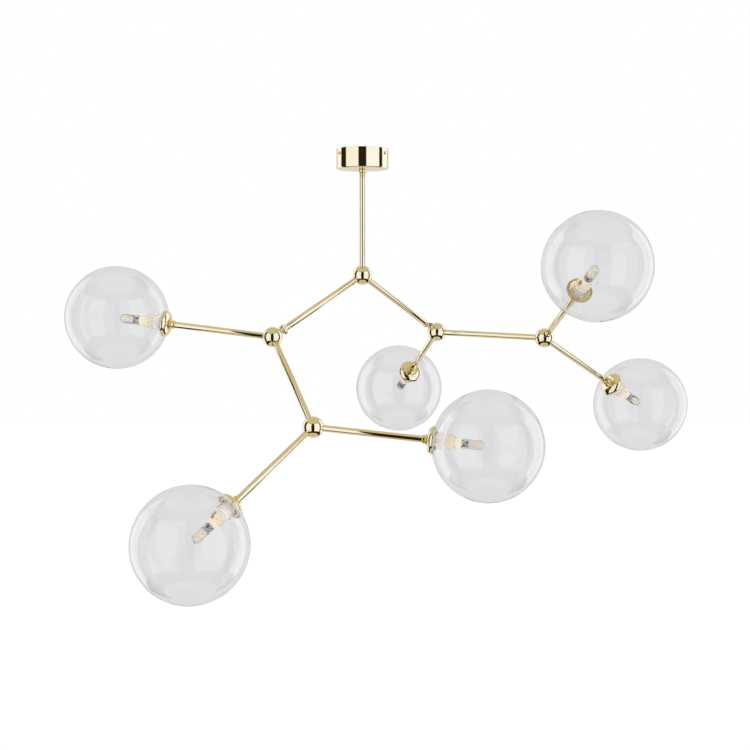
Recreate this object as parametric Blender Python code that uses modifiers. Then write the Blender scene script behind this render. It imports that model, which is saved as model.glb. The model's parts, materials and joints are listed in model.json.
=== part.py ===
"""Multi arm chandelier: a ceiling canopy, a drop rod and a branching tree of
brass tubes joined by drilled balls, with six arms that each end in a cup, a
threaded lamp holder, an LED capsule lamp and a clear glass globe.

Units are metres, +Z is up, and the origin is the centre of the ceiling
plate's top face.  Local +Z of every turned piece runs along its tube.
"""
import math

import bmesh
import bpy
from mathutils import Matrix, Vector

# ---------------------------------------------------------------- dimensions
GLOBE_R = 0.100          # outside radius of a glass globe
GLASS_T = 0.0020         # glass wall
NECK_BORE = 0.0138       # inside radius of the globe's threaded neck
NECK_R = 0.0166          # outside radius of that neck
NECK_DEPTH = 0.0200      # how far the neck reaches into the globe

LINK = 0.2336            # ball centre to ball centre
ARM = 0.3132             # ball centre to globe centre
BALL_R = 0.0194
TUBE_R = 0.0061
TUBE_BORE_R = 0.0048
SEAT = 0.0090            # a tube's end stands this far from the ball's centre
GAP = 0.0003             # clearance between touching pieces

CANOPY_R = 0.0515
CANOPY_H = 0.0400
SHEET = 0.0012           # spun brass sheet
DROP = 0.2081            # canopy underside to the centre of ball A

CUP_R = 0.0255
CUP_DEPTH = 0.0095
HOLDER_R = 0.0126        # threaded part of the lamp holder
RING_R = 0.0132          # its shoulder
NOSE_R = 0.0097
LAMP_R = 0.0087

SWIVEL_AT = 0.0280       # swivel pivot to ball centre
LUG_R = 0.0060
MOVING_T = 0.0088        # thickness of the moving lug's half of the barrel
FIXED_T = 0.0066         # and of the fixed lug's half
PIN_R = 0.0017

# The pose of the tree.  Link directions at ball A are azimuth and elevation.
# At each other ball the two outgoing tubes lie in one plane, spread either
# side of the fork's axis by half its opening angle, and the plane is rolled
# about that axis.  The tilt turns the fork's axis off the incoming tube.
LINK_AZ = {"b": -148.2, "c": 39.5}
LINK_EL = {"b": -30.6, "c": -30.6}
FORK_ROLL = {"b": 57.5, "c": 73.8, "d": -69.0, "e": 57.6}
FORK_HALF = {"b": 61.3, "c": 61.6, "d": 60.2, "e": 60.3}
FORK_TILT = {"b": (-4.3, -5.8), "c": (-0.5, 4.9), "d": (0.0, 0.0), "e": (0.0, 0.0)}
SCREW_ROLL = {"b": -165.5, "c": 70.9}   # direction of each swivel's screw, about its link
CANOPY_SCREW_AZ = (-150.0, -30.0, 90.0)

UP = Vector((0.0, 0.0, 1.0))


# ------------------------------------------------------------------- layout
def basis(d):
    """Two directions square to d: the first as near to up as it can be."""
    n = (UP - UP.dot(d) * d).normalized()
    return n, d.cross(n)


def heading(az, el):
    az, el = math.radians(az), math.radians(el)
    return Vector((math.cos(el) * math.cos(az), math.cos(el) * math.sin(az), math.sin(el)))


def fork(d, ball):
    """The two tube directions that leave a ball which the tube d comes into."""
    n, m = basis(d)
    tx, ty = (math.tan(math.radians(t)) for t in FORK_TILT[ball])
    axis = (d + n * tx + m * ty).normalized()
    n, m = basis(axis)
    roll, half = math.radians(FORK_ROLL[ball]), math.radians(FORK_HALF[ball])
    side = n * math.cos(roll) + m * math.sin(roll)
    return (axis * math.cos(half) + side * math.sin(half),
            axis * math.cos(half) - side * math.sin(half))


BALL = {"a": Vector((0.0, 0.0, -CANOPY_H - DROP))}
d_ab, d_ac = (heading(LINK_AZ[k], LINK_EL[k]) for k in "bc")
BALL["b"] = BALL["a"] + LINK * d_ab
BALL["c"] = BALL["a"] + LINK * d_ac
arm1, d_bd = fork(d_ab, "b")
d_ce, arm4 = fork(d_ac, "c")
BALL["d"] = BALL["b"] + LINK * d_bd
BALL["e"] = BALL["c"] + LINK * d_ce
arm3, arm2 = fork(d_bd, "d")
arm5, arm6 = fork(d_ce, "e")
ARMS = {1: ("b", arm1), 2: ("d", arm2), 3: ("d", arm3),
        4: ("c", arm4), 5: ("e", arm5), 6: ("e", arm6)}
BORES = {"a": (UP, d_ab, d_ac),
         "b": (-d_ab, d_bd, arm1),
         "c": (-d_ac, d_ce, arm4),
         "d": (-d_bd, arm2, arm3),
         "e": (-d_ce, arm5, arm6)}

# -------------------------------------------------------------------- scene
for old in list(bpy.data.objects):
    bpy.data.objects.remove(old, do_unlink=True)


def new_collection(name):
    c = bpy.data.collections.new(name)
    bpy.context.scene.collection.children.link(c)
    return c


PARTS = new_collection("multi_arm_chandelier")
TOOLS = new_collection("cutters")


def material(name, colour, rough, metal, trans=0.0):
    m = bpy.data.materials.new(name)
    m.use_nodes = True
    b = m.node_tree.nodes["Principled BSDF"]
    b.inputs["Base Color"].default_value = (*colour, 1.0)
    b.inputs["Roughness"].default_value = rough
    b.inputs["Metallic"].default_value = metal
    b.inputs["Transmission Weight"].default_value = trans
    m.diffuse_color = (*colour, 1.0)
    return m


GOLD = material("polished_gold", (0.86, 0.74, 0.46), 0.08, 1.0)
STEEL = material("zinc_plated_steel", (0.62, 0.62, 0.62), 0.35, 1.0)
GLASS = material("clear_glass", (0.93, 0.95, 0.95), 0.02, 0.0, 1.0)
CREAM = material("cream_ceramic", (0.86, 0.80, 0.68), 0.45, 0.0)
LAMP = material("lamp_body", (0.80, 0.80, 0.78), 0.20, 0.0, 0.3)
NYLON = material("white_nylon", (0.90, 0.90, 0.88), 0.5, 0.0)


def place(obj, origin=Vector((0, 0, 0)), z=UP, x=None):
    """Puts the object at origin, its local +Z along z and its +X along x."""
    z = z.normalized()
    if x is None:
        rot = z.to_track_quat("Z", "Y").to_matrix().to_4x4()
    else:
        x = (x - x.dot(z) * z).normalized()
        rot = Matrix((x, z.cross(x), z)).transposed().to_4x4()
    obj.location = origin
    obj.rotation_mode = "QUATERNION"
    obj.rotation_quaternion = rot.to_quaternion()
    return obj


def mesh_object(name, bm, mat, where=PARTS):
    me = bpy.data.meshes.new(name)
    bm.to_mesh(me)
    bm.free()
    obj = bpy.data.objects.new(name, me)
    where.objects.link(obj)
    if mat:
        me.materials.append(mat)
    return obj


def turned(name, profile, closed, steps, mat, where=PARTS):
    """A turned piece: (radius, height) points down its outer side."""
    bm = bmesh.new()
    vs = [bm.verts.new((r, 0.0, z)) for r, z in profile]
    for a, b in zip(vs, vs[1:]):
        bm.edges.new((a, b))
    if closed:
        bm.edges.new((vs[-1], vs[0]))
    obj = mesh_object(name, bm, mat, where)
    s = obj.modifiers.new("turn", "SCREW")
    s.axis = "Z"
    s.angle = 2 * math.pi
    s.steps = s.render_steps = steps
    s.use_merge_vertices = True
    s.merge_threshold = 0.00005
    s.use_smooth_shade = True
    return obj


def tool_cylinder(r, z0, z1, origin, axis, sides=12, x=None):
    bm = bmesh.new()
    bmesh.ops.create_cone(bm, cap_ends=True, segments=sides, radius1=r, radius2=r, depth=z1 - z0,
                          matrix=Matrix.Translation((0, 0, (z0 + z1) / 2)))
    return as_tool(place(mesh_object("tool", bm, None, TOOLS), origin, axis, x))


def tool_box(lo, hi, origin, axis, x):
    bm = bmesh.new()
    size = [h - l for l, h in zip(lo, hi)]
    mid = [(h + l) / 2 for l, h in zip(lo, hi)]
    bmesh.ops.create_cube(bm, size=1.0,
                          matrix=Matrix.Translation(mid) @ Matrix.Diagonal((*size, 1.0)))
    return as_tool(place(mesh_object("tool", bm, None, TOOLS), origin, axis, x))


def as_tool(obj):
    obj.hide_render = True
    obj.display_type = "WIRE"
    return obj


def boolean(obj, other, operation):
    m = obj.modifiers.new(operation.lower(), "BOOLEAN")
    m.operation = operation
    m.solver = "EXACT"
    m.object = other
    return obj


def tube(name, origin, d, start, end, mat=GOLD, bore=TUBE_BORE_R):
    ring = [(TUBE_R, end), (TUBE_R, start), (bore, start), (bore, end)]
    return place(turned(name, ring, True, 12, mat), origin, d)


# ------------------------------------------------------------ ceiling canopy
plate_r, plate_wall, rim_depth = 0.0480, 0.0015, 0.0160
plate = turned("ceiling_plate",
               [(0.0, 0.0), (plate_r, 0.0), (plate_r, -rim_depth), (plate_r - plate_wall, -rim_depth),
                (plate_r - plate_wall, -plate_wall), (0.0, -plate_wall)], False, 24, STEEL)
boolean(plate, tool_cylinder(0.0090, -0.01, 0.01, Vector((0.028, 0, 0)), UP), "DIFFERENCE")
for az in (82.5, 262.5):
    boolean(plate, tool_cylinder(0.0025, -0.01, 0.01, 0.034 * heading(az, 0.0), UP, 10), "DIFFERENCE")

corner = 0.0030
outer = [(CANOPY_R, -GAP)]
inner = [(CANOPY_R - SHEET, -GAP)]
for i in range(4):
    t = math.radians(90.0 * i / 3)
    c = Vector((CANOPY_R - corner, -CANOPY_H + corner))
    outer.append((c.x + corner * math.cos(t), c.y - corner * math.sin(t)))
    k = corner - SHEET
    inner.append((c.x + k * math.cos(t), c.y - k * math.sin(t)))
hole = TUBE_R + GAP
canopy = turned("canopy_cup", outer + [(hole, -CANOPY_H), (hole, -CANOPY_H + SHEET)] + inner[::-1],
                True, 30, GOLD)

SCREW_Z = -0.0105
for i, az in enumerate(CANOPY_SCREW_AZ):
    out = heading(az, 0.0)
    at = Vector((0, 0, SCREW_Z))
    for piece in (plate, canopy):
        boolean(piece, tool_cylinder(0.0018, 0.040, 0.060, at, out, 8), "DIFFERENCE")
    face = CANOPY_R + GAP
    head = [(0.0, face + 0.0018), (0.0022, face + 0.0014), (0.0032, face + 0.0006), (0.0032, face),
            (0.0015, face), (0.0015, plate_r - 0.0060), (0.0, plate_r - 0.0060)]
    place(turned("canopy_screw_%d" % (i + 1), head, False, 10, GOLD), at, out)

top_of_rod = -0.0315
nut_bore = TUBE_R + GAP
nut_h = 0.0064
z1 = -CANOPY_H - GAP
turned("canopy_ring_nut",
       [(0.0068, z1), (0.0076, z1 - 0.0008), (0.0076, z1 - nut_h + 0.0010), (0.0070, z1 - nut_h),
        (nut_bore, z1 - nut_h), (nut_bore, z1)], True, 16, GOLD)
z0 = -CANOPY_H + SHEET + GAP
lock = turned("rod_lock_nut", [(0.0, z0 + 0.0050), (0.0110, z0 + 0.0050), (0.0110, z0), (0.0, z0)], False, 6, STEEL)
boolean(lock, tool_cylinder(nut_bore, z0 - 0.001, z0 + 0.006, Vector((0, 0, 0)), UP), "DIFFERENCE")

bm = bmesh.new()
bmesh.ops.create_cube(bm, size=1.0, matrix=Matrix.Translation((-0.004, 0, -plate_wall - GAP - 0.0065))
                      @ Matrix.Diagonal((0.036, 0.018, 0.013, 1.0)))
block = mesh_object("terminal_block", bm, NYLON)
bev = block.modifiers.new("edges", "BEVEL")
bev.width = 0.0010
bev.segments = 1
for x in (-0.015, -0.004, 0.007):
    for s in (-1, 1):
        boolean(block, tool_cylinder(0.0022, 0.003, 0.012, Vector((x, 0, -0.0085)), Vector((0, s, 0)), 8),
                "DIFFERENCE")

drop_len = -top_of_rod + BALL["a"].z
tube("drop_rod", Vector((0, 0, 0)), UP, BALL["a"].z + SEAT, top_of_rod)

# --------------------------------------------------------------------- balls
for key, centre in BALL.items():
    bm = bmesh.new()
    bmesh.ops.create_uvsphere(bm, u_segments=16, v_segments=10, radius=BALL_R)
    for f in bm.faces:
        f.smooth = True
    ball = place(mesh_object("ball_" + key, bm, GOLD), centre)
    for d in BORES[key]:
        boolean(ball, tool_cylinder(TUBE_R + GAP, -0.0020, 0.0300, centre, d), "DIFFERENCE")

# --------------------------------------------------------------- link tubes
SLEEVE = 0.0120          # the fixed lug's collar ends this far from the pivot
COLLAR_R = 0.0068
tube("link_tube_ab", BALL["a"], d_ab, SEAT, LINK - SWIVEL_AT - SLEEVE - GAP)
tube("link_tube_ac", BALL["a"], d_ac, SEAT, LINK - SWIVEL_AT - SLEEVE - GAP)
tube("link_tube_bd", BALL["b"], d_bd, SEAT, LINK - SEAT)
tube("link_tube_ce", BALL["c"], d_ce, SEAT, LINK - SEAT)


# ------------------------------------------------------------------ swivels
def swivel(key, d):
    """Two half-lapped lugs on one screw, between a link tube and its ball."""
    n, m = basis(d)
    roll = math.radians(SCREW_ROLL[key])
    screw = n * math.cos(roll) + m * math.sin(roll)
    up_tube = -d
    pivot = BALL[key] - d * SWIVEL_AT
    name = "swivel_%s_" % key
    half = 0.0002

    # The moving lug: a stud into the ball, a web and half of the barrel.
    stud_r = TUBE_R
    moving = place(turned(name + "moving_lug",
                          [(0.0, -0.0076), (stud_r, -0.0076), (stud_r, -SWIVEL_AT + SEAT),
                           (0.0, -SWIVEL_AT + SEAT)], False, 12, GOLD), pivot, up_tube, screw)
    boolean(moving, tool_box((-0.0058, -0.0052, -0.0093), (-half, 0.0052, -0.0010), pivot, up_tube, screw), "UNION")
    boolean(moving, tool_cylinder(LUG_R, -half - MOVING_T, -half, pivot, screw, 14, up_tube), "UNION")
    boolean(moving, tool_cylinder(PIN_R + GAP, -0.02, 0.02, pivot, screw, 10), "DIFFERENCE")

    # The fixed lug: the other half barrel, a web, a collar and a plug in the tube.
    plug = TUBE_BORE_R - GAP
    fixed = place(turned(name + "fixed_lug",
                         [(0.0, SLEEVE + 0.0100), (plug, SLEEVE + 0.0100), (plug, SLEEVE),
                          (COLLAR_R, SLEEVE), (COLLAR_R, 0.0078), (0.0, 0.0078)], False, 14, GOLD),
                  pivot, up_tube, screw)
    boolean(fixed, tool_box((half, -0.0052, 0.0010), (0.0058, 0.0052, 0.0095), pivot, up_tube, screw), "UNION")
    boolean(fixed, tool_cylinder(LUG_R, half, half + FIXED_T, pivot, screw, 14, up_tube), "UNION")
    boolean(fixed, tool_cylinder(PIN_R + GAP, -0.02, 0.02, pivot, screw, 10), "DIFFERENCE")

    # The screw, its head on the fixed lug's side, with a driver slot.
    seat, tail = half + FIXED_T + GAP, -half - MOVING_T
    head = place(turned(name + "screw",
                        [(0.0, seat + 0.0030), (0.0030, seat + 0.0030), (0.0036, seat + 0.0022),
                         (0.0036, seat), (PIN_R, seat), (PIN_R, tail), (0.0, tail)],
                        False, 12, GOLD), pivot, screw, up_tube)
    boolean(head, tool_box((-0.0060, -0.0006, seat + 0.0020), (0.0060, 0.0006, seat + 0.0050),
                           pivot, screw, up_tube), "DIFFERENCE")


swivel("b", d_ab)
swivel("c", d_ac)

# --------------------------------------------------------------------- arms
POLE = ARM - GLOBE_R                       # the globe's nearest point, along the arm
RIM = ARM - math.sqrt(GLOBE_R ** 2 - CUP_R ** 2) - GAP
BACK = RIM - 0.0012 - CUP_DEPTH            # back of the cup
NIPPLE_R = TUBE_BORE_R - GAP
NOSE_END = ARM - 0.0474
RING_END = ARM - 0.0620
THREAD_END = ARM - 0.0757
LAMP_BASE_END = ARM - 0.0350
LAMP_TIP = ARM - 0.0070
PIN_AT = 0.0045


def arc(centre, rr, rz, t0, t1, n):
    """Points on an ellipse's arc, angles in degrees from +radius towards -height."""
    for i in range(n + 1):
        t = math.radians(t0 + (t1 - t0) * i / n)
        yield centre[0] + rr * math.cos(t), centre[1] - rz * math.sin(t)


def cup_profile():
    flat = 0.0120
    c = (flat, RIM - 0.0012)
    out = [(CUP_R, RIM)] + list(arc(c, CUP_R - flat, CUP_DEPTH, 0, 90, 3))
    ins = [(CUP_R - SHEET, RIM)] + list(arc(c, CUP_R - flat - SHEET, CUP_DEPTH - SHEET, 0, 90, 3))
    bore = NIPPLE_R + 0.0008
    return out + [(bore, BACK), (bore, BACK + SHEET)] + ins[::-1]


def globe_profile():
    """Outer sphere, down to the mouth, the neck turned back inside, and the inner sphere."""
    ri = GLOBE_R - GLASS_T
    mouth = math.degrees(math.acos(NECK_BORE / GLOBE_R))
    root = math.degrees(math.acos(NECK_R / ri))
    out = [(0.0, GLOBE_R)] + list(arc((0, 0), GLOBE_R, GLOBE_R, -90, mouth, 12))[1:]
    top = -GLOBE_R + NECK_DEPTH
    ins = [(NECK_BORE, top), (NECK_R, top)] + list(arc((0, 0), ri, ri, root, -90, 12))[:-1] + [(0.0, ri)]
    return out + ins


for i, (key, d) in ARMS.items():
    c = BALL[key]
    tube("arm_tube_%d" % i, c, d, SEAT, BACK - GAP)
    z0 = BACK - 0.0095
    bore = TUBE_R + GAP
    place(turned("arm_nut_%d" % i,
                 [(0.0098, BACK - GAP), (0.0098, BACK - 0.0028), (0.0072, BACK - 0.0038),
                  (0.0082, BACK - 0.0052), (0.0082, z0), (bore, z0), (bore, BACK - GAP)],
                 True, 14, GOLD), c, d)
    place(turned("cup_%d" % i, cup_profile(), True, 16, GOLD), c, d)

    floor = BACK + SHEET + GAP
    holder = place(turned("lamp_holder_%d" % i,
                          [(0.0, NOSE_END), (NOSE_R, NOSE_END), (NOSE_R, RING_END),
                           (RING_R, RING_END), (RING_R, THREAD_END), (HOLDER_R, THREAD_END),
                           (HOLDER_R, floor), (NIPPLE_R, floor), (NIPPLE_R, BACK - 0.0120),
                           (0.0, BACK - 0.0120)], False, 14, CREAM), c, d)
    lamp = place(turned("lamp_%d" % i,
                        [(0.0, LAMP_TIP)] + list(arc((0.0, LAMP_TIP - 0.0050), LAMP_R, 0.0050, -60, 0, 2))
                        + [(LAMP_R, LAMP_BASE_END), (LAMP_R + 0.0004, LAMP_BASE_END - 0.0010),
                           (LAMP_R + 0.0004, NOSE_END + GAP), (0.0, NOSE_END + GAP)],
                        False, 10, LAMP), c, d)
    n, m = basis(d)
    for s in (-PIN_AT, PIN_AT):
        at = c + n * s
        boolean(holder, tool_cylinder(0.0013, NOSE_END - 0.0070, NOSE_END + 0.0030, at, d, 6), "DIFFERENCE")
        boolean(lamp, tool_cylinder(0.0009, NOSE_END - 0.0055, NOSE_END + 0.0040, at, d, 6), "UNION")

    place(turned("glass_globe_%d" % i, globe_profile(), False, 24, GLASS), c + ARM * d, d)
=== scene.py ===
"""Looks for the multi arm chandelier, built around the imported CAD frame.

Every turned piece is described by (radius, distance) points in metres.  The
distances on an arm are counted from the centre of the ball it grows from.
"""
import json
import math

import bmesh
import bpy
from mathutils import Matrix, Vector

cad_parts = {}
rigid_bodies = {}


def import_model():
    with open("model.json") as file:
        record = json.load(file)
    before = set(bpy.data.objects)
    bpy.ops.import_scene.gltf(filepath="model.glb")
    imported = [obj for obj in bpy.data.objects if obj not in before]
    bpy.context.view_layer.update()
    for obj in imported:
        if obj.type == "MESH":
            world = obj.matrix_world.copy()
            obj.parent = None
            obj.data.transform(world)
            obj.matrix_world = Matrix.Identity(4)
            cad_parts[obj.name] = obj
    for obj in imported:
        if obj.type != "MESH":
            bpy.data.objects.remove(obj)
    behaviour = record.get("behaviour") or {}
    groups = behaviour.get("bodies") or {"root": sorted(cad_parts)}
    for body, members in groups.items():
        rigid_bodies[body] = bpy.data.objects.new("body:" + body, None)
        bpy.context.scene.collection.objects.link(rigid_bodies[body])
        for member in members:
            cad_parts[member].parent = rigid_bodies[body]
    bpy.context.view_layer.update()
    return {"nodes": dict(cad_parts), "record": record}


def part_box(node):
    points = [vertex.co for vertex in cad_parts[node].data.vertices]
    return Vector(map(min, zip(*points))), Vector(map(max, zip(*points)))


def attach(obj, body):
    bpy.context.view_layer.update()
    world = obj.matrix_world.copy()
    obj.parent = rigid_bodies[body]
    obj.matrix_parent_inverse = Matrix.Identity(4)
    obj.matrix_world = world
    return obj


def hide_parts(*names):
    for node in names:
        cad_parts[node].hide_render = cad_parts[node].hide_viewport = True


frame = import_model()
scene = bpy.context.scene
UP = Vector((0.0, 0.0, 1.0))

# ---------------------------------------------------------------- dimensions
GLOBE_R, GLASS_T, NECK_BORE, NECK_R, NECK_DEPTH = 0.100, 0.0020, 0.0138, 0.0166, 0.0200
ARM, BALL_R, TUBE_R, TUBE_BORE_R, SEAT, GAP = 0.3132, 0.0194, 0.0061, 0.0048, 0.0090, 0.0003
CANOPY_R, CANOPY_H, SHEET = 0.0515, 0.0400, 0.0012
CUP_R, CUP_DEPTH, HOLDER_R, RING_R, NOSE_R, LAMP_R = 0.0255, 0.0095, 0.0126, 0.0132, 0.0097, 0.0087
SWIVEL_AT, SLEEVE, LUG_R, MOVING_T, FIXED_T, PIN_R = 0.0280, 0.0120, 0.0060, 0.0088, 0.0066, 0.0017
SCREW_Z, SCREW_AZ = -0.0105, (-150.0, -30.0, 90.0)
PLATE_R, PLATE_WALL, PLATE_RIM = 0.0480, 0.0015, 0.0160

RIM = ARM - math.sqrt(GLOBE_R ** 2 - CUP_R ** 2) - GAP
BACK = RIM - 0.0012 - CUP_DEPTH
NIPPLE_R = TUBE_BORE_R - GAP
NOSE_END, RING_END, THREAD_END = ARM - 0.0474, ARM - 0.0620, ARM - 0.0757
LAMP_BASE_END, LAMP_TIP = ARM - 0.0350, ARM - 0.0070

joints = {j["name"]: j for j in frame["record"]["behaviour"]["joints"]}


def centre(node):
    lo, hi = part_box(node)
    return (Vector(lo) + Vector(hi)) / 2


ARMS = {}
for i in range(1, 7):
    j = joints["globe_thread_%d" % i]
    d = Vector(j["axis"]).normalized()
    ARMS[i] = (Vector(j["pos_m"]) - ARM * d, d, j["parent"])

BALL = {k: centre("ball_" + k) for k in "abcde"}


# ------------------------------------------------------------------ geometry
def basis(d):
    n = (UP - UP.dot(d) * d)
    n = n.normalized() if n.length > 1e-6 else Vector((1.0, 0.0, 0.0))
    return n, d.cross(n)


def stand(at=Vector((0, 0, 0)), z=UP, x=None):
    """The matrix that puts local +Z along z and local +X along x at a point."""
    z = z.normalized()
    if x is None:
        x = basis(z)[0]
    x = (x - x.dot(z) * z).normalized()
    m = Matrix((x, z.cross(x), z)).transposed().to_4x4()
    m.translation = at
    return m


def rounded(points, closed=True, n=5, reach=0.49):
    """Rounds each corner that is given a radius as its third number."""
    out, count = [], len(points)
    for i, p in enumerate(points):
        rad = p[2] if len(p) > 2 else 0.0
        corner = Vector(p[:2])
        if rad <= 0 or (not closed and i in (0, count - 1)):
            out.append((corner.x, corner.y))
            continue
        u = Vector(points[i - 1][:2]) - corner
        v = Vector(points[(i + 1) % count][:2]) - corner
        lu, lv = u.length, v.length
        u.normalize()
        v.normalize()
        ang = u.angle(v)
        if abs(ang - math.pi) < 1e-3:
            out.append((corner.x, corner.y))
            continue
        t = min(rad / math.tan(ang / 2), lu * reach, lv * reach)
        rr = t * math.tan(ang / 2)
        c = corner + (u + v).normalized() * (rr / math.sin(ang / 2))
        s, e = corner + u * t - c, corner + v * t - c
        a0 = math.atan2(s.y, s.x)
        da = (math.atan2(e.y, e.x) - a0 + math.pi) % (2 * math.pi) - math.pi
        for k in range(n + 1):
            a = a0 + da * k / n
            out.append((c.x + rr * math.cos(a), c.y + rr * math.sin(a)))
    return out


def arc(c, rr, rz, t0, t1, n):
    for i in range(n + 1):
        t = math.radians(t0 + (t1 - t0) * i / n)
        yield c[0] + rr * math.cos(t), c[1] - rz * math.sin(t)


def finish_mesh(name, bm, mat, angle=32.0):
    bmesh.ops.remove_doubles(bm, verts=bm.verts, dist=1e-7)
    bmesh.ops.recalc_face_normals(bm, faces=bm.faces)
    limit = math.radians(angle)
    for f in bm.faces:
        f.smooth = True
    for e in bm.edges:
        e.smooth = len(e.link_faces) == 2 and e.calc_face_angle(0.0) < limit
    me = bpy.data.meshes.new(name)
    bm.to_mesh(me)
    bm.free()
    obj = bpy.data.objects.new(name, me)
    scene.collection.objects.link(obj)
    if mat:
        me.materials.append(mat)
    return obj


def turned(name, profile, mat, place=Matrix(), segs=64, closed=True, pitch=0.003, angle=32.0):
    """A turned piece.  A third number on a point is a screw thread's height there."""
    bm = bmesh.new()
    rings = []
    for p in profile:
        r, h, amp = p[0], p[1], (p[2] if len(p) > 2 else 0.0)
        if r < 1e-7:
            rings.append([bm.verts.new(place @ Vector((0, 0, h)))])
            continue
        ring = []
        for k in range(segs):
            a = 2 * math.pi * k / segs
            q = r + amp * (0.5 + 0.5 * math.cos(2 * math.pi * h / pitch - a))
            ring.append(bm.verts.new(place @ Vector((q * math.cos(a), q * math.sin(a), h))))
        rings.append(ring)
    pairs = list(zip(rings, rings[1:]))
    if closed and len(rings[0]) > 1 and len(rings[-1]) > 1:
        pairs.append((rings[-1], rings[0]))
    for a, b in pairs:
        for k in range(segs):
            l = (k + 1) % segs
            if len(a) == 1 and len(b) == 1:
                continue
            if len(a) == 1:
                bm.faces.new((a[0], b[k], b[l]))
            elif len(b) == 1:
                bm.faces.new((a[k], b[0], a[l]))
            else:
                bm.faces.new((a[k], b[k], b[l], a[l]))
    return finish_mesh(name, bm, mat, angle)


def box_mesh(name, lo, hi, mat, place=Matrix(), bevel=0.0, segments=2):
    bm = bmesh.new()
    size = [h - l for l, h in zip(lo, hi)]
    mid = [(h + l) / 2 for l, h in zip(lo, hi)]
    bmesh.ops.create_cube(bm, size=1.0, matrix=place @ Matrix.Translation(mid) @ Matrix.Diagonal((*size, 1.0)))
    if bevel:
        bmesh.ops.bevel(bm, geom=list(bm.edges), offset=bevel, segments=segments, profile=0.5, affect="EDGES")
    return finish_mesh(name, bm, mat, 50.0)


def rod(name, r, z0, z1, mat, place=Matrix(), segs=24, edge=0.0):
    pts = rounded([(0, z1), (r, z1, edge), (r, z0, edge), (0, z0)], closed=False, n=3) if edge else [
        (0, z1), (r, z1), (r, z0), (0, z0)]
    return turned(name, pts, mat, place, segs, closed=False)


def combine(obj, others, operation, bevel=0.0, angle=32.0):
    """Applies booleans, and optionally a small edge round, to the object's mesh."""
    for o in others:
        m = obj.modifiers.new("b", "BOOLEAN")
        m.operation = operation
        m.solver = "EXACT"
        m.object = o
    if bevel:
        b = obj.modifiers.new("e", "BEVEL")
        b.width = bevel
        b.segments = 2
        b.limit_method = "ANGLE"
        b.angle_limit = math.radians(40)
    deps = bpy.context.evaluated_depsgraph_get()
    me = bpy.data.meshes.new_from_object(obj.evaluated_get(deps))
    obj.modifiers.clear()
    bm = bmesh.new()
    bm.from_mesh(me)
    bpy.data.meshes.remove(me)
    bmesh.ops.remove_doubles(bm, verts=bm.verts, dist=1e-7)
    bmesh.ops.recalc_face_normals(bm, faces=bm.faces)
    limit = math.radians(angle)
    for f in bm.faces:
        f.smooth = True
        f.material_index = 0
    for e in bm.edges:
        e.smooth = len(e.link_faces) == 2 and e.calc_face_angle(0.0) < limit
    bm.to_mesh(obj.data)
    bm.free()
    for o in others:
        bpy.data.objects.remove(o, do_unlink=True)
    return obj


def join(name, objs):
    """One object from several that share a body."""
    bm = bmesh.new()
    mats = []
    for o in objs:
        start = len(bm.faces)
        index = {}
        for i, m in enumerate(o.data.materials):
            if m not in mats:
                mats.append(m)
            index[i] = mats.index(m)
        bm.from_mesh(o.data)
        bm.faces.ensure_lookup_table()
        for f in bm.faces[start:]:
            f.material_index = index.get(f.material_index, 0)
    me = bpy.data.meshes.new(name)
    bm.to_mesh(me)
    bm.free()
    for o in objs:
        bpy.data.objects.remove(o, do_unlink=True)
    obj = bpy.data.objects.new(name, me)
    scene.collection.objects.link(obj)
    for m in mats:
        me.materials.append(m)
    return obj


# ----------------------------------------------------------------- materials
class Nodes:
    """Short names for the few shader nodes used here."""

    def __init__(self, tree):
        self.t = tree

    def new(self, kind, **values):
        n = self.t.nodes.new(kind)
        for k, v in values.items():
            setattr(n, k, v)
        return n

    def link(self, a, b):
        self.t.links.new(a, b)

    def maths(self, op, a, b=None, c=None):
        n = self.new("ShaderNodeMath", operation=op)
        for i, v in enumerate((a, b, c)):
            if v is None:
                continue
            if isinstance(v, (int, float)):
                n.inputs[i].default_value = v
            else:
                self.link(v, n.inputs[i])
        return n.outputs[0]

    def span(self, value, a, b, lo=0.0, hi=1.0, smooth=True):
        n = self.new("ShaderNodeMapRange", interpolation_type="SMOOTHSTEP" if smooth else "LINEAR")
        n.inputs["From Min"].default_value = a
        n.inputs["From Max"].default_value = b
        n.inputs["To Min"].default_value = lo
        n.inputs["To Max"].default_value = hi
        self.link(value, n.inputs["Value"])
        return n.outputs["Result"]

    def noise(self, scale, detail=3.0, rough=0.5, vector=None):
        n = self.new("ShaderNodeTexNoise")
        n.inputs["Scale"].default_value = scale
        n.inputs["Detail"].default_value = detail
        n.inputs["Roughness"].default_value = rough
        if vector is None:
            vector = self.new("ShaderNodeTexCoord").outputs["Object"]
        self.link(vector, n.inputs["Vector"])
        return n.outputs["Fac"]

    def mix(self, fac, a, b):
        n = self.new("ShaderNodeMix", data_type="RGBA")
        for socket, v in ((n.inputs[0], fac), (n.inputs[6], a), (n.inputs[7], b)):
            if isinstance(v, (int, float)):
                socket.default_value = v
            elif isinstance(v, tuple):
                socket.default_value = (*v, 1.0)
            else:
                self.link(v, socket)
        return n.outputs[2]

    def bump(self, height, strength, distance):
        n = self.new("ShaderNodeBump")
        n.inputs["Strength"].default_value = strength
        n.inputs["Distance"].default_value = distance
        self.link(height, n.inputs["Height"])
        return n.outputs["Normal"]


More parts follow.
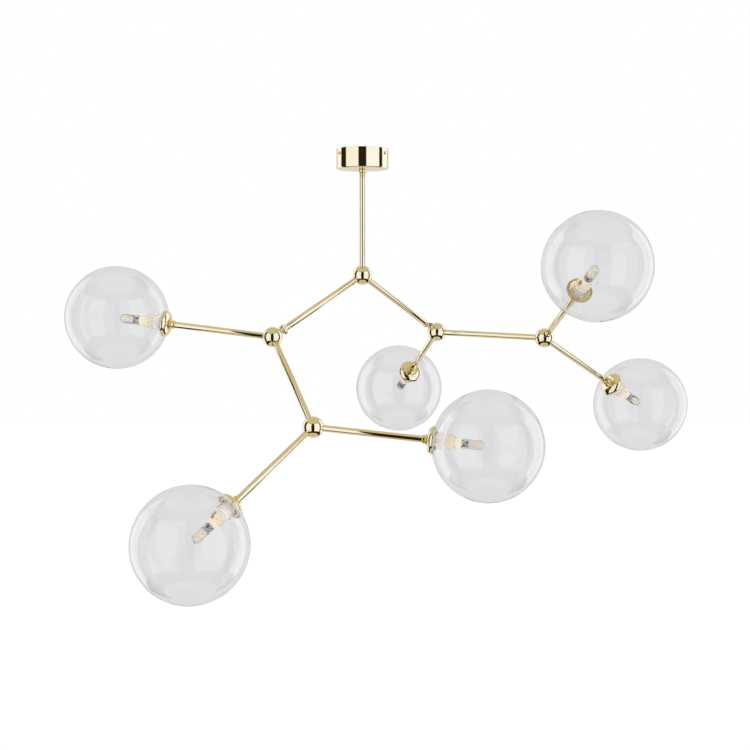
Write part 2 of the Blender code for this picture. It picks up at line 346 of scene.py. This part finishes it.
def material(name, colour_a, colour_b, rough, metal=0.0, trans=0.0, ior=1.45, scale=40.0, bump=0.0,
             bump_scale=200.0, bump_depth=0.0002, coat=0.0):
    """A procedural finish: two close colours and a roughness that wander over the surface."""
    m = bpy.data.materials.new(name)
    m.use_nodes = True
    g = Nodes(m.node_tree)
    b = m.node_tree.nodes["Principled BSDF"]
    b.inputs["Metallic"].default_value = metal
    b.inputs["Transmission Weight"].default_value = trans
    b.inputs["IOR"].default_value = ior
    b.inputs["Coat Weight"].default_value = coat
    n = g.noise(scale)
    g.link(g.mix(g.span(n, 0.35, 0.65), colour_a, colour_b), b.inputs["Base Color"])
    g.link(g.span(g.noise(scale * 1.7, 5.0, 0.6), 0.3, 0.7, rough[0], rough[1]), b.inputs["Roughness"])
    if bump:
        g.link(g.bump(g.noise(bump_scale, 2.0), bump, bump_depth), b.inputs["Normal"])
    return m


GOLD = material("polished_gold", (0.895, 0.790, 0.515), (0.875, 0.768, 0.490), (0.035, 0.075), metal=1.0,
                scale=22.0, bump=0.02, bump_scale=40.0, bump_depth=0.0004)
BRIGHT = material("bright_gold", (0.93, 0.76, 0.34), (0.90, 0.73, 0.31), (0.05, 0.10), metal=1.0,
                  scale=60.0, bump=0.05, bump_scale=120.0)
STEEL = material("zinc_plate", (0.62, 0.62, 0.60), (0.55, 0.56, 0.56), (0.28, 0.42), metal=1.0, scale=70.0,
                 bump=0.1, bump_scale=400.0)
SCREW = material("nickel_screw", (0.44, 0.40, 0.31), (0.36, 0.32, 0.25), (0.16, 0.26), metal=1.0, scale=150.0)
GLASS = material("clear_glass", (0.958, 0.958, 0.960), (0.948, 0.949, 0.951), (0.0, 0.012), trans=1.0, ior=1.36, scale=7.0,
                 bump=0.12, bump_scale=9.0, bump_depth=0.0035)
GLASS.node_tree.nodes["Principled BSDF"].inputs["Specular Tint"].default_value = (1.0, 0.96, 0.82, 1.0)
NECK = material("neck_glass", (0.975, 0.965, 0.950), (0.965, 0.950, 0.935), (0.0, 0.03), trans=1.0, ior=1.10, scale=30.0,
                bump=0.05, bump_scale=40.0, bump_depth=0.001)
THREAD = material("pale_thread", (0.95, 0.91, 0.88), (0.92, 0.87, 0.84), (0.25, 0.40), scale=130.0, bump=0.08,
                  bump_scale=900.0, coat=0.2)
# Painted light: the pale thread gets a faint glow that stands in for light lost through the glass neck and globe.
THREAD.node_tree.nodes["Principled BSDF"].inputs["Emission Color"].default_value = (1.0, 0.95, 0.92, 1.0)
THREAD.node_tree.nodes["Principled BSDF"].inputs["Emission Strength"].default_value = 0.15
CREAM = material("cream_ceramic", (0.90, 0.80, 0.63), (0.86, 0.76, 0.58), (0.30, 0.45), scale=130.0, bump=0.08,
                 bump_scale=900.0, coat=0.2)
COPPER = material("copper_contact", (0.70, 0.34, 0.18), (0.58, 0.25, 0.12), (0.22, 0.38), metal=1.0, scale=220.0)
CLEAR = material("lamp_capsule", (0.90, 0.90, 0.92), (0.86, 0.86, 0.885), (0.02, 0.07), trans=1.0, ior=1.45, scale=90.0)
DRIVER = material("lamp_driver", (0.74, 0.74, 0.77), (0.62, 0.62, 0.66), (0.25, 0.40), metal=0.2, scale=300.0)
CHIP = material("dark_component", (0.035, 0.035, 0.04), (0.06, 0.06, 0.065), (0.30, 0.45), scale=400.0)
BOARD = material("white_board", (0.90, 0.90, 0.89), (0.86, 0.86, 0.85), (0.35, 0.5), scale=300.0)
PHOSPHOR = material("led_phosphor", (0.99, 0.86, 0.58), (0.98, 0.80, 0.48), (0.30, 0.42), scale=600.0)
# Painted light: the diode phosphor and the white board get a faint glow that stands in for light lost through the
# capsule and globe.
for lit, tone, power in ((PHOSPHOR, (1.0, 0.84, 0.55, 1.0), 0.30), (BOARD, (0.95, 0.95, 1.0, 1.0), 0.12)):
    lit.node_tree.nodes["Principled BSDF"].inputs["Emission Color"].default_value = tone
    lit.node_tree.nodes["Principled BSDF"].inputs["Emission Strength"].default_value = power
NYLON = material("white_nylon", (0.86, 0.86, 0.84), (0.80, 0.80, 0.78), (0.42, 0.55), scale=120.0, bump=0.1,
                 bump_scale=700.0)


def add(obj, body, slot, *nodes):
    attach(obj, body)
    if nodes:
        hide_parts(*nodes)
    return obj


# ------------------------------------------------------------- canopy, mast
outer = list(arc((CANOPY_R - 0.0030, -CANOPY_H + 0.0030), 0.0030, 0.0030, 0, 90, 10))
inner = list(arc((CANOPY_R - 0.0030, -CANOPY_H + 0.0030), 0.0018, 0.0018, 0, 90, 8))
hole = TUBE_R + GAP
lip = rounded([(CANOPY_R - SHEET, -0.004), (CANOPY_R - SHEET, -GAP, 0.0005), (CANOPY_R, -GAP, 0.0005),
               (CANOPY_R, -0.004)], closed=False, n=4)
canopy = turned("canopy", lip + outer + [(hole, -CANOPY_H), (hole, -CANOPY_H + SHEET)] + inner[::-1], GOLD, segs=160)
plate = turned("ceiling_disc", rounded([(0.0, 0.0), (PLATE_R, 0.0, 0.0012), (PLATE_R, -PLATE_RIM, 0.0003),
                                        (PLATE_R - PLATE_WALL, -PLATE_RIM, 0.0003),
                                        (PLATE_R - PLATE_WALL, -PLATE_WALL, 0.0006), (0.0, -PLATE_WALL)], closed=False),
               STEEL, segs=96, closed=False)


def compass(az):
    az = math.radians(az)
    return Vector((math.cos(az), math.sin(az), 0.0))


cuts = [rod("t", 0.0090, -0.01, 0.01, None, stand(Vector((0.028, 0, 0))), 40)]
for az in (82.5, 262.5):
    cuts.append(rod("t", 0.0025, -0.01, 0.01, None, stand(0.034 * compass(az)), 24))
for az in SCREW_AZ:
    cuts.append(rod("t", 0.0018, 0.040, 0.060, None, stand(Vector((0, 0, SCREW_Z)), compass(az)), 20))
combine(plate, cuts, "DIFFERENCE")
combine(canopy, [rod("t", 0.0018, 0.045, 0.060, None, stand(Vector((0, 0, SCREW_Z)), compass(az)), 20)
                 for az in SCREW_AZ], "DIFFERENCE")
add(canopy, "mast", "gold", "canopy_cup")
add(plate, "mast", "steel", "ceiling_plate")

for i, az in enumerate(SCREW_AZ):
    m = stand(Vector((0, 0, SCREW_Z)), compass(az))
    f = CANOPY_R + GAP
    head = turned("canopy_side_screw_%d" % (i + 1),
                  rounded([(0.0, f + 0.0018), (0.0021, f + 0.0017, 0.0008), (0.0032, f + 0.0007, 0.0004), (0.0032, f),
                           (0.0015, f), (0.0015, PLATE_R - 0.0060, 0.0004), (0.0, PLATE_R - 0.0060)], closed=False, n=5),
                  BRIGHT, m, 40, closed=False)
    slot = [box_mesh("t", (-0.0020, -0.0004, f + 0.0010), (0.0020, 0.0004, f + 0.003), None, m),
            box_mesh("t", (-0.0004, -0.0020, f + 0.0010), (0.0004, 0.0020, f + 0.003), None, m)]
    combine(head, slot, "DIFFERENCE")
    add(head, "mast", "gold", "canopy_screw_%d" % (i + 1))

z1 = -CANOPY_H - GAP
nut_pts = [(hole, z1), (0.0070, z1, 0.0006), (0.0076, z1 - 0.0010, 0.0008), (0.0076, z1 - 0.0052, 0.0012),
           (0.0069, z1 - 0.0064, 0.0006), (hole, z1 - 0.0064)]
add(turned("canopy_collar", rounded(nut_pts, n=5), BRIGHT, segs=64), "mast", "gold", "canopy_ring_nut")
top_of_rod = -0.0315


def pipe(name, at, d, start, end, mat=GOLD):
    e = 0.0004
    return turned(name, rounded([(TUBE_R, end, e), (TUBE_R, start, e), (TUBE_BORE_R, start, e), (TUBE_BORE_R, end, e)],
                                n=2), mat, stand(at, d), 56)


add(pipe("drop_pipe", Vector((0, 0, 0)), UP, BALL["a"].z + SEAT, top_of_rod), "mast", "gold", "drop_rod")

# --------------------------------------------------------------------- balls
d_ab = (BALL["b"] - BALL["a"]).normalized()
d_ac = (BALL["c"] - BALL["a"]).normalized()
d_bd = (BALL["d"] - BALL["b"]).normalized()
d_ce = (BALL["e"] - BALL["c"]).normalized()
LINK = (BALL["b"] - BALL["a"]).length
BORES = {"a": (UP, d_ab, d_ac), "b": (-d_ab, d_bd, ARMS[1][1]), "c": (-d_ac, d_ce, ARMS[4][1]),
         "d": (-d_bd, ARMS[2][1], ARMS[3][1]), "e": (-d_ce, ARMS[5][1], ARMS[6][1])}
BODY = {"a": "mast", "b": "branch_b", "c": "branch_c", "d": "branch_b", "e": "branch_c"}


def ball(key):
    """A ball with three bores, each with a small countersink, and true sphere normals."""
    c = BALL[key]
    bm = bmesh.new()
    bmesh.ops.create_uvsphere(bm, u_segments=72, v_segments=44, radius=BALL_R, matrix=Matrix.Translation(c))
    obj = finish_mesh("ball_" + key + "_turned", bm, GOLD)
    cuts = []
    mouth = math.sqrt(BALL_R ** 2 - (TUBE_R + 0.0009) ** 2)
    for d in BORES[key]:
        prof = [(0.0, -0.0020), (TUBE_R + GAP, -0.0020), (TUBE_R + GAP, mouth - 0.0005), (TUBE_R + 0.0009, mouth),
                (TUBE_R + 0.0009, 0.030), (0.0, 0.030)]
        cuts.append(turned("t", prof, None, stand(c, d), 48, closed=False))
    combine(obj, cuts, "DIFFERENCE", angle=20.0)
    me = obj.data
    normals = []
    for p in me.polygons:
        on = all(abs((me.vertices[v].co - c).length - BALL_R) < 2e-5 for v in p.vertices)
        for v in p.vertices:
            normals.append(tuple((me.vertices[v].co - c).normalized()) if on else tuple(p.normal))
    me.normals_split_custom_set(normals)
    return add(obj, BODY[key], "gold", "ball_" + key)


for k in "abcde":
    ball(k)

short = LINK - SWIVEL_AT - SLEEVE - GAP
add(pipe("link_pipe_ab", BALL["a"], d_ab, SEAT, short), "mast", "gold", "link_tube_ab")
add(pipe("link_pipe_ac", BALL["a"], d_ac, SEAT, short), "mast", "gold", "link_tube_ac")
add(pipe("link_pipe_bd", BALL["b"], d_bd, SEAT, LINK - SEAT), "branch_b", "gold", "link_tube_bd")
add(pipe("link_pipe_ce", BALL["c"], d_ce, SEAT, LINK - SEAT), "branch_c", "gold", "link_tube_ce")


# ------------------------------------------------------------------- swivels
def swivel(key, d, body):
    screw = Vector(joints["swivel_" + key]["axis"]).normalized()
    up_tube, pivot, half = -d, BALL[key] - d * SWIVEL_AT, 0.0002
    along, across = stand(pivot, up_tube, screw), stand(pivot, screw, up_tube)
    moving = rod("swivel_%s_outer_lug" % key, TUBE_R, -SWIVEL_AT + SEAT, -0.0076, GOLD, along, 48)
    web = rod("t", 0.0058, -0.0093, -0.0006, None, along, 48)
    combine(web, [box_mesh("t", (-half, -0.02, -0.02), (0.02, 0.02, 0.02), None, along)], "DIFFERENCE")
    combine(moving, [web, rod("t", LUG_R, -half - MOVING_T, -half, None, across, 56)], "UNION")
    combine(moving, [rod("t", PIN_R + GAP, -0.02, 0.02, None, across, 24)], "DIFFERENCE", bevel=0.0004)
    add(moving, body, "gold", "swivel_%s_moving_lug" % key)

    plug = TUBE_BORE_R - GAP
    fixed = turned("swivel_%s_inner_lug" % key, [(0.0, SLEEVE + 0.0100), (plug, SLEEVE + 0.0100), (plug, SLEEVE),
                                                 (TUBE_R, SLEEVE), (TUBE_R, 0.0078), (0.0, 0.0078)], GOLD, along, 56,
                   closed=False)
    web = rod("t", 0.0058, 0.0006, 0.0095, None, along, 48)
    combine(web, [box_mesh("t", (-0.02, -0.02, -0.02), (half, 0.02, 0.02), None, along)], "DIFFERENCE")
    combine(fixed, [web, rod("t", LUG_R, half, half + FIXED_T, None, across, 56)], "UNION")
    combine(fixed, [rod("t", PIN_R + GAP, -0.02, 0.02, None, across, 24)], "DIFFERENCE", bevel=0.0004)
    add(fixed, "mast", "gold", "swivel_%s_fixed_lug" % key)

    seat, tail = half + FIXED_T + GAP, -half - MOVING_T
    head = turned("swivel_%s_slot_screw" % key,
                  rounded([(0.0, seat + 0.0030), (0.0032, seat + 0.0030, 0.0007), (0.0036, seat + 0.0018, 0.0004),
                           (0.0036, seat, 0.0003), (PIN_R, seat), (PIN_R, tail, 0.0003), (0.0, tail)],
                          closed=False, n=4), SCREW, across, 48, closed=False)
    combine(head, [box_mesh("t", (-0.0060, -0.0006, seat + 0.0016), (0.0060, 0.0006, seat + 0.0050), None, across)],
            "DIFFERENCE")
    add(head, "mast", "gold", "swivel_%s_screw" % key)


swivel("b", d_ab, "branch_b")
swivel("c", d_ac, "branch_c")

# ---------------------------------------------------------------------- arms
FLAT = 0.0120


def cup_points():
    c = (FLAT, RIM - 0.0012)
    out = [(CUP_R, RIM - 0.0001, 0.0005)] + list(arc(c, CUP_R - FLAT, CUP_DEPTH, 4, 90, 22))
    ins = [(CUP_R - SHEET, RIM - 0.0001, 0.0005)] + list(
        arc(c, CUP_R - FLAT - SHEET, CUP_DEPTH - SHEET, 4, 90, 20))
    bore = NIPPLE_R + 0.0008
    return rounded(out + [(bore, BACK), (bore, BACK + SHEET)] + ins[::-1], n=4)


def globe_points():
    ri = GLOBE_R - GLASS_T
    mouth = math.degrees(math.acos(NECK_BORE / GLOBE_R))
    flare = NECK_R + 0.0075
    root = math.degrees(math.acos(flare / ri))
    out = [(0.0, GLOBE_R)] + list(arc((0, 0), GLOBE_R, GLOBE_R, -90, mouth - 0.6, 72))[1:]
    z_mouth = -math.sqrt(GLOBE_R ** 2 - NECK_BORE ** 2)
    top = -GLOBE_R + NECK_DEPTH
    wall, n = 0.0017, 34
    outer_r = NECK_BORE + wall
    bore = []
    for i in range(n + 1):
        h = z_mouth + 0.0012 + (top - 0.0012 - z_mouth - 0.0012) * i / n
        grow = min(1.0, min(i, n - i) / 4.0)
        bore.append((NECK_BORE, h, -0.0002 * grow))
    rim = [(NECK_BORE + 0.0003, top - 0.0001), (NECK_BORE + 0.0008, top), (outer_r - 0.0003, top - 0.0002)]
    neck = []
    z_root = -math.sqrt(ri ** 2 - flare ** 2)
    z_foot = z_root + 0.0062
    for i in range(19):
        h = top - 0.0008 + (z_foot - top + 0.0008) * i / 18
        grow = min(1.0, min(i, 18 - i) / 3.0)
        neck.append((outer_r, h, -0.0003 * grow))
    foot = []
    for i in range(1, 9):
        t = math.pi / 2 * i / 9
        foot.append((outer_r + (flare - outer_r) * (1 - math.cos(t)), z_foot - 0.0062 * math.sin(t)))
    ins = list(arc((0, 0), ri, ri, root, -90, 70))[:-1] + [(0.0, ri)]
    return out + bore + rim + neck + foot + ins


def thread_points(z0, z1, r, height, pitch=0.0030, per=10):
    n = max(8, int((z1 - z0) / pitch * per))
    return [(r, z0 + (z1 - z0) * i / n, height * min(1.0, min(i, n - i) / 5.0)) for i in range(n + 1)]


WINDOW_ROLL = {1: 90, 2: 90, 3: 90, 4: 90, 5: 7, 6: 90}


def lamp_holder(i, m, n, body):
    floor = BACK + SHEET + GAP
    edge = 0.0006
    head = rounded([(0.0, NOSE_END), (NOSE_R, NOSE_END, edge), (NOSE_R, RING_END + 0.0040), (NOSE_R + 0.0010, RING_END + 0.0030, 0.0005),
                    (NOSE_R + 0.0010, RING_END), (RING_R, RING_END, edge), (RING_R, RING_END - 0.0034, 0.0004),
                    (RING_R - 0.0007, RING_END - 0.0040, 0.0003), (RING_R - 0.0007, RING_END - 0.0056, 0.0003),
                    (RING_R, RING_END - 0.0062, 0.0004), (RING_R, THREAD_END, edge), (HOLDER_R - 0.0012, THREAD_END)],
                   closed=False, n=4)
    screw = [(r, h, a) for r, h, a in thread_points(THREAD_END - 0.0006, floor + 0.0008, HOLDER_R - 0.0012, 0.0012)]
    tail = rounded([(HOLDER_R - 0.0012, floor), (NIPPLE_R, floor), (NIPPLE_R, BACK - 0.0120, 0.0004), (0.0, BACK - 0.0120)],
                   closed=False, n=3)
    bench = Matrix.Rotation(0.5, 4, "X")        # the cuts are made here, then the piece is put in place
    obj = turned("holder_%d" % i, head + screw + tail, CREAM, bench, 72, closed=False)
    cuts = []
    roll = Matrix.Rotation(math.radians(WINDOW_ROLL[i]), 4, "Z")
    w = bench @ roll
    for s in (-1, 1):
        lo, hi = sorted((s * 0.0092, s * 0.0150))
        cuts.append(box_mesh("t", (-0.0040, lo, RING_END - 0.0088), (0.0040, hi, RING_END + 0.0052), None, w))
    cuts.append(box_mesh("t", (-0.0068, -0.0013, NOSE_END - 0.0045), (0.0068, 0.0013, NOSE_END + 0.003), None, bench))
    for s in (-0.0045, 0.0045):
        cuts.append(rod("t", 0.0013, NOSE_END - 0.0070, NOSE_END + 0.003, None, bench @ Matrix.Translation((s, 0, 0)), 16))
    combine(obj, cuts, "DIFFERENCE", angle=35.0)
    if not obj.data.polygons:
        raise RuntimeError("holder %d was lost in its cuts" % i)
    obj.data.transform(m @ bench.inverted())
    w = m @ roll
    obj.data.materials.append(THREAD)
    away = m.inverted()
    for p in obj.data.polygons:
        if (away @ p.center).z < THREAD_END - 0.00005:
            p.material_index = 1
    add(obj, body, "cream", "lamp_holder_%d" % i)
    tabs = []
    for s in (-1, 1):
        lo, hi = sorted((s * 0.0091, s * 0.0099))
        tabs.append(box_mesh("t", (-0.0034, lo, RING_END - 0.0080), (0.0034, hi, RING_END + 0.0044), COPPER, w, 0.0002))
        tabs.append(rod("t", 0.0011, 0.0, 0.0014, COPPER,
                        w @ stand(Vector((0, s * 0.0095, RING_END - 0.0040)), Vector((0, s, 0)), Vector((0, 0, 1))), 20, 0.0003))
    add(join("holder_%d_contacts" % i, tabs), body, "cream")


def lamp(i, m):
    body = "lamp_%d" % i
    z0, z1, tip = NOSE_END + GAP, LAMP_BASE_END, LAMP_TIP
    # Clear sleeve round the driver, then the clear capsule with a domed tip.
    wall = 0.0013
    r, rb = LAMP_R, LAMP_R + 0.0004
    out = rounded([(rb - 0.0004, z0, 0.0003), (rb, z0 + 0.0010, 0.0004), (rb, z1 - 0.0012, 0.0004), (r, z1, 0.0004),
                   (r, tip - 0.0052)], closed=False, n=3)
    dome = [(r * math.cos(t), tip - 0.0050 + 0.0050 * math.sin(t)) for t in
            [math.pi / 2 * k / 14 for k in range(14)]] + [(0.0, tip)]
    ri = r - wall
    inner_dome = [(0.0, tip - wall)] + [(ri * math.cos(t), tip - 0.0050 + (0.0050 - wall) * math.sin(t)) for t in
                                        [math.pi / 2 * k / 14 for k in range(13, -1, -1)]]
    inside = [(ri, z1), (rb - wall, z1 - 0.0014), (rb - wall, z0 + 0.0016), (0.0, z0 + 0.0016)]
    shell = turned("t", [(0.0, z0)] + out + dome, CLEAR, m, 56, closed=False)
    hollow = turned("t", inner_dome + inside, CLEAR, m, 56, closed=False)
    hollow.data.flip_normals()
    shell = join("lamp_%d_capsule" % i, [shell, hollow])
    add(shell, body, "lamp", "lamp_%d" % i)
    parts = []
    # driver board and its components in the base
    parts.append(box_mesh("t", (-0.0062, -0.0006, z0 + 0.0020), (0.0062, 0.0006, z1 + 0.0006), BOARD, m, 0.0001))
    for x, y, z, w, t, h, mat in ((-0.0036, 1, 0.0028, 0.0040, 0.0022, 0.0034, CHIP), (0.0028, 1, 0.0030, 0.0050, 0.0034, 0.0050, DRIVER),
                                  (-0.0034, 1, 0.0074, 0.0046, 0.0026, 0.0030, DRIVER), (0.0030, 1, 0.0088, 0.0040, 0.0018, 0.0024, CHIP),
                                  (0.0034, -1, 0.0028, 0.0040, 0.0026, 0.0036, CHIP), (-0.0030, -1, 0.0032, 0.0052, 0.0034, 0.0052, DRIVER),
                                  (0.0030, -1, 0.0078, 0.0050, 0.0030, 0.0030, DRIVER), (-0.0032, -1, 0.0092, 0.0036, 0.0016, 0.0022, CHIP)):
        lo, hi = sorted((y * 0.0006, y * (0.0006 + t)))
        parts.append(box_mesh("t", (x - w / 2, lo, z0 + z), (x + w / 2, hi, z0 + z + h), mat, m, 0.0003))
    # silver band between base and capsule
    parts.append(turned("t", rounded([(0.0056, z1 - 0.0010, 0.0002), (0.0076, z1 - 0.0010, 0.0002), (0.0076, z1 + 0.0004, 0.0002),
                                      (0.0056, z1 + 0.0004, 0.0002)], n=2), DRIVER, m, 40))
    # six sided post with a strip of diodes on each face, and one diode board on its end
    post = turned("t", [(0.0, tip - 0.0046), (0.0056, tip - 0.0046), (0.0056, z1), (0.0, z1)], BOARD, m, 6, closed=False)
    parts.append(post)
    apothem = 0.0056 * math.cos(math.pi / 6)
    for k in range(6):
        a = math.radians(60 * k + 30)
        f = m @ Matrix.Rotation(a, 4, "Z")
        parts.append(box_mesh("t", (apothem, -0.0018, z1 + 0.0016), (apothem + 0.0007, 0.0018, tip - 0.0058), PHOSPHOR, f, 0.0002))
    parts.append(rod("t", 0.0036, tip - 0.0046, tip - 0.0039, PHOSPHOR, m, 24, 0.0002))
    for s in (-0.0045, 0.0045):
        parts.append(rod("t", 0.0009, z0 - 0.0052, z0 + 0.0025, SCREW, m @ Matrix.Translation((s, 0, 0)), 16, 0.0003))
    add(join("lamp_%d_inside" % i, parts), body, "lamp")


for i, (c, d, body) in ARMS.items():
    n, side = basis(d)
    m = stand(c, d, n)
    add(pipe("arm_pipe_%d" % i, c, d, SEAT, BACK - GAP), body, "gold", "arm_tube_%d" % i)
    z0, bore = BACK - 0.0095, TUBE_R + GAP
    add(turned("arm_collar_%d" % i,
               rounded([(0.0098, BACK - GAP, 0.0008), (0.0098, BACK - 0.0026, 0.0009), (0.0073, BACK - 0.0034, 0.0005),
                        (0.0082, BACK - 0.0046, 0.0010), (0.0082, z0 + 0.0004, 0.0012), (bore, z0, 0.0002), (bore, BACK - GAP)],
                       n=5), BRIGHT, m, 64), body, "gold", "arm_nut_%d" % i)
    add(turned("cup_%d_spun" % i, cup_points(), GOLD, m, 96), body, "gold", "cup_%d" % i)
    lamp_holder(i, m, n, body)
    lamp(i, m)
    centre = stand(c + ARM * d, d, n)
    blown = turned("globe_%d_blown" % i, globe_points(), GLASS, centre, 128, closed=False, pitch=0.0040, angle=60.0)
    blown.data.materials.append(NECK)
    away = centre.inverted()
    for p in blown.data.polygons:
        q = away @ p.center
        if q.z < -GLOBE_R + NECK_DEPTH + 0.001 and math.hypot(q.x, q.y) < NECK_R + 0.003:
            p.material_index = 1
    add(blown, "globe_%d" % i, "glass", "glass_globe_%d" % i)

# CAD nodes that stay as they are get their finish here.
for node, mat in (("terminal_block", NYLON), ("rod_lock_nut", STEEL)):
    for s in frame["nodes"][node].material_slots:
        s.material = mat

# --------------------------------------------------- studio: floor and world
bm = bmesh.new()
bmesh.ops.create_grid(bm, x_segments=1, y_segments=1, size=9.0, matrix=Matrix.Translation((0, 3.0, -2.0)))
floor = finish_mesh("studio_floor", bm, None)
fm = bpy.data.materials.new("studio_floor")
fm.use_nodes = True
g = Nodes(fm.node_tree)
fb = fm.node_tree.nodes["Principled BSDF"]
fb.inputs["Roughness"].default_value = 0.9
fb.inputs["Specular IOR Level"].default_value = 0.1
g.link(g.mix(g.noise(1.5), (0.06, 0.06, 0.06), (0.05, 0.05, 0.05)), fb.inputs["Base Color"])
fb.inputs["Emission Color"].default_value = (1, 1, 1, 1)
fb.inputs["Emission Strength"].default_value = 0.95
floor.data.materials.append(fm)
floor.visible_glossy = False
floor.visible_transmission = False
floor.visible_diffuse = False

world = bpy.data.worlds.new("studio")
scene.world = world
world.use_nodes = True
world.node_tree.nodes.clear()
g = Nodes(world.node_tree)
direction = g.new("ShaderNodeTexCoord").outputs["Generated"]
sep = g.new("ShaderNodeSeparateXYZ")
g.link(direction, sep.inputs[0])
X, Y, Z = sep.outputs
azimuth = g.maths("ARCTAN2", X, g.maths("MULTIPLY", Y, -1.0))      # 0 is where the camera stands, + is right
side = g.maths("MULTIPLY", azimuth, 180 / math.pi)
turn = g.maths("ABSOLUTE", side)
lift = g.maths("MULTIPLY", g.maths("ARCSINE", Z), 180 / math.pi)


def window(value, lo, hi, soft=2.0):
    return g.maths("MULTIPLY", g.span(value, lo - soft, lo + soft), g.span(value, hi - soft, hi + soft, 1.0, 0.0))


sky = (0.022, 0.015, 0.009)
sky = g.mix(window(turn, 141, 200, 6.0), sky, (0.775, 0.73, 0.72))               # behind the object
above = g.span(lift, 36, 48)
sky = g.mix(above, sky, (0.65, 0.61, 0.465))                                        # the room above
below = g.span(lift, -61, -56, 1.0, 0.0)
sky = g.mix(below, sky, (0.74, 0.69, 0.55))                                        # the floor
sky = g.mix(g.span(lift, -84, -72, 1.0, 0.0), sky, (0.50, 0.46, 0.33))
heights = window(lift, -37, 40, 2.5)
for lo, hi, soft, tone in ((-76, -17, 1.5, (1.09, 1.11, 1.30)), (18, 80, 1.5, (1.12, 1.17, 1.48)),
                           (-141, -107, 3.0, (1.15, 1.18, 1.38)), (99, 141, 3.0, (1.20, 1.25, 1.48))):
    sky = g.mix(g.maths("MULTIPLY", window(side, lo, hi, soft), heights), sky, tone)
paths = g.new("ShaderNodeLightPath")



def reached(output):
    return g.span(paths.outputs[output], 0.4, 0.6, smooth=False)


inside = reached("Transmission Depth")
grey = g.new("ShaderNodeRGBToBW")
g.link(sky, grey.inputs["Color"])
sky = g.mix(inside, sky, grey.outputs["Val"])
colour = g.mix(inside, (1.0, 1.0, 1.0), (0.848, 0.848, 0.848))
colour = g.mix(reached("Glossy Depth"), colour, sky)
colour = g.mix(reached("Diffuse Depth"), colour, (1.55, 1.54, 1.52))
back = g.new("ShaderNodeBackground")
g.link(colour, back.inputs["Color"])
back.inputs["Strength"].default_value = 1.0
out = g.new("ShaderNodeOutputWorld")
g.link(back.outputs[0], out.inputs[0])


def softbox(name, at, to, size, power):
    l = bpy.data.lights.new(name, "AREA")
    l.shape = "RECTANGLE"
    l.size, l.size_y = size
    l.energy = power
    o = bpy.data.objects.new(name, l)
    scene.collection.objects.link(o)
    o.matrix_world = Matrix.Translation(at) @ (Vector(to) - Vector(at)).to_track_quat("-Z", "Y").to_matrix().to_4x4()
    o.visible_camera = False
    o.visible_glossy = False
    o.visible_transmission = False
    return o


softbox("key_left", (-2.4, -2.0, 0.6), (0, 0, -0.4), (1.4, 1.8), 28)
softbox("key_right", (2.6, -1.8, 0.4), (0, 0, -0.4), (1.4, 1.8), 20)

# -------------------------------------------------------------------- camera
cam = bpy.data.cameras.new("camera")
cam.sensor_fit = "HORIZONTAL"
cam.sensor_width = 36.0
cam.lens = 56.17
cam.clip_end = 60.0
eye = bpy.data.objects.new("camera", cam)
eye.location = (0.0249, -2.3401, -0.2655)
eye.rotation_euler = (math.radians(85.54), 0.0, 0.0)
scene.collection.objects.link(eye)
scene.camera = eye
scene.view_settings.view_transform = "Standard"
scene.cycles.max_bounces = 26
scene.cycles.transmission_bounces = 24
scene.cycles.glossy_bounces = 8
